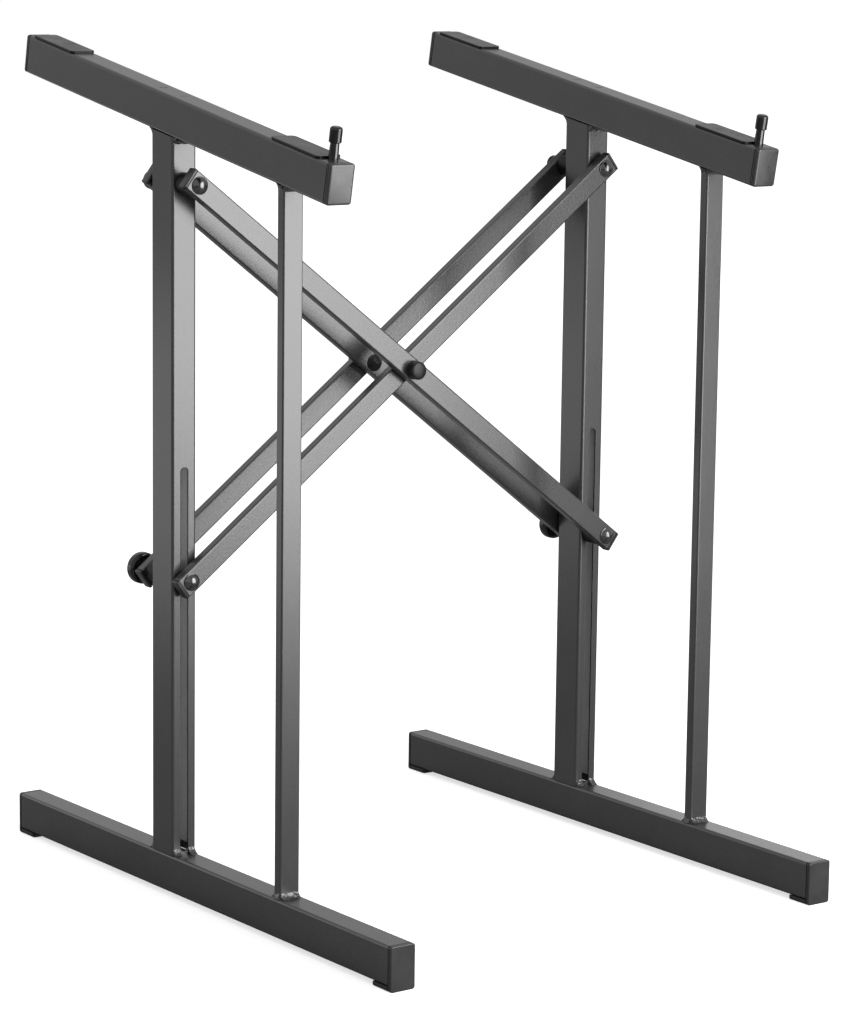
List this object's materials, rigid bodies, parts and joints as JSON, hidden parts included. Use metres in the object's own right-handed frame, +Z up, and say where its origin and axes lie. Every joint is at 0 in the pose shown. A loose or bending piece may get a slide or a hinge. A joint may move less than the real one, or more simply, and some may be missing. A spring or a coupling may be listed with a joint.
{
  "type": "mixer stand",
  "caption": "Folding mixer stand: side frames with sloping padded support bars and stop pegs, joined by a scissor whose lower bolts slide in slotted posts and clamp with round knobs.",
  "frame": {"origin": "on the floor, in the middle of the stand's footprint as it is set up", "axes": "+X from the left frame to the right frame, +Y away from the user, +Z up"},
  "size_m": [0.4972, 0.62, 0.7687],
  "materials": {
    "frame_paint": "anthracite powder coat, satin",
    "arm_paint": "anthracite powder coat, satin",
    "weld_paint": "powder coat over a rippled weld bead",
    "foot_plastic": "moulded, fine grain",
    "cap_plastic": "moulded, semi-gloss",
    "arm_cap_plastic": "moulded, semi-matt",
    "pad_rubber": "fine grain",
    "sleeve_rubber": "moulded, semi-gloss",
    "bright_steel": "bright turned steel",
    "bolt_steel": "dark polished",
    "plain_steel": "zinc plated",
    "nut_cap_plastic": "moulded, semi-gloss",
    "spacer_plastic": "moulded",
    "knob_plastic": "moulded, fine grain",
    "insert_brass": "turned"
  },
  "bodies": {
    "left_frame": {"left_base_tube": "frame_paint", "left_post": "frame_paint", "left_front_tube": "frame_paint", "left_support_tube": "frame_paint", "left_welds": "weld_paint", "left_foot_caps": "foot_plastic", "left_bar_caps": "cap_plastic", "left_pads": "pad_rubber", "left_stop_peg": "bright_steel", "left_peg_sleeve": "sleeve_rubber", "left_peg_nut": "plain_steel"},
    "arms_a": {"near_arm_a": "arm_paint", "near_arm_a_caps": "arm_cap_plastic", "far_arm_a": "arm_paint", "far_arm_a_caps": "arm_cap_plastic", "left_pivot_bolt": "bolt_steel", "left_pivot_nut": "plain_steel", "left_pivot_nut_cap": "nut_cap_plastic", "left_pivot_spacer": "spacer_plastic", "left_pivot_washer": "spacer_plastic", "right_clamp_bolt": "bolt_steel", "right_clamp_spacer": "spacer_plastic", "right_clamp_washer": "spacer_plastic", "right_knob_washer": "plain_steel", "near_cross_bolt": "bolt_steel", "near_cross_nut": "plain_steel", "near_cross_nut_cap": "nut_cap_plastic", "near_cross_washer": "spacer_plastic", "far_cross_bolt": "bolt_steel", "far_cross_nut": "plain_steel", "far_cross_nut_cap": "nut_cap_plastic", "far_cross_washer": "spacer_plastic"},
    "arms_b": {"near_arm_b": "arm_paint", "near_arm_b_caps": "arm_cap_plastic", "far_arm_b": "arm_paint", "far_arm_b_caps": "arm_cap_plastic", "right_pivot_bolt": "bolt_steel", "right_pivot_nut": "plain_steel", "right_pivot_nut_cap": "nut_cap_plastic", "right_pivot_spacer": "spacer_plastic", "right_pivot_washer": "spacer_plastic", "left_clamp_bolt": "bolt_steel", "left_clamp_spacer": "spacer_plastic", "left_clamp_washer": "spacer_plastic", "left_knob_washer": "plain_steel"},
    "right_frame": {"right_base_tube": "frame_paint", "right_post": "frame_paint", "right_front_tube": "frame_paint", "right_support_tube": "frame_paint", "right_welds": "weld_paint", "right_foot_caps": "foot_plastic", "right_bar_caps": "cap_plastic", "right_pads": "pad_rubber", "right_stop_peg": "bright_steel", "right_peg_sleeve": "sleeve_rubber", "right_peg_nut": "plain_steel"},
    "left_clamp_knob": {"left_knob": "knob_plastic", "left_knob_insert": "insert_brass"},
    "right_clamp_knob": {"right_knob": "knob_plastic", "right_knob_insert": "insert_brass"}
  },
  "joints": [
    {"name": "scissor_fold", "type": "hinge", "parent": "left_frame", "child": "arms_a", "pos_m": [-0.233, 0.0475, 0.6465], "axis": [0, 1, 0], "range_deg": [-11.2, 48.4]},
    {"name": "arm_crossing", "type": "hinge", "parent": "arms_a", "child": "arms_b", "pos_m": [0, 0.0475, 0.46968], "axis": [0, 1, 0], "range_deg": [-96.8, 22.4]},
    {"name": "right_pivot", "type": "hinge", "parent": "arms_b", "child": "right_frame", "pos_m": [0.233, 0.0475, 0.6465], "axis": [0, 1, 0], "range_deg": [-11.2, 48.4]},
    {"name": "left_knob_turn", "type": "hinge", "parent": "arms_b", "child": "left_clamp_knob", "pos_m": [-0.233, 0.0975, 0.29285], "axis": [0, 1, 0], "continuous": true},
    {"name": "right_knob_turn", "type": "hinge", "parent": "arms_a", "child": "right_clamp_knob", "pos_m": [0.233, 0.0855, 0.29285], "axis": [0, 1, 0], "continuous": true}
  ],
  "couplings": [
    {"joint": "arm_crossing", "follows": "scissor_fold", "ratio": -2},
    {"joint": "right_pivot", "follows": "scissor_fold", "ratio": 1}
  ]
}
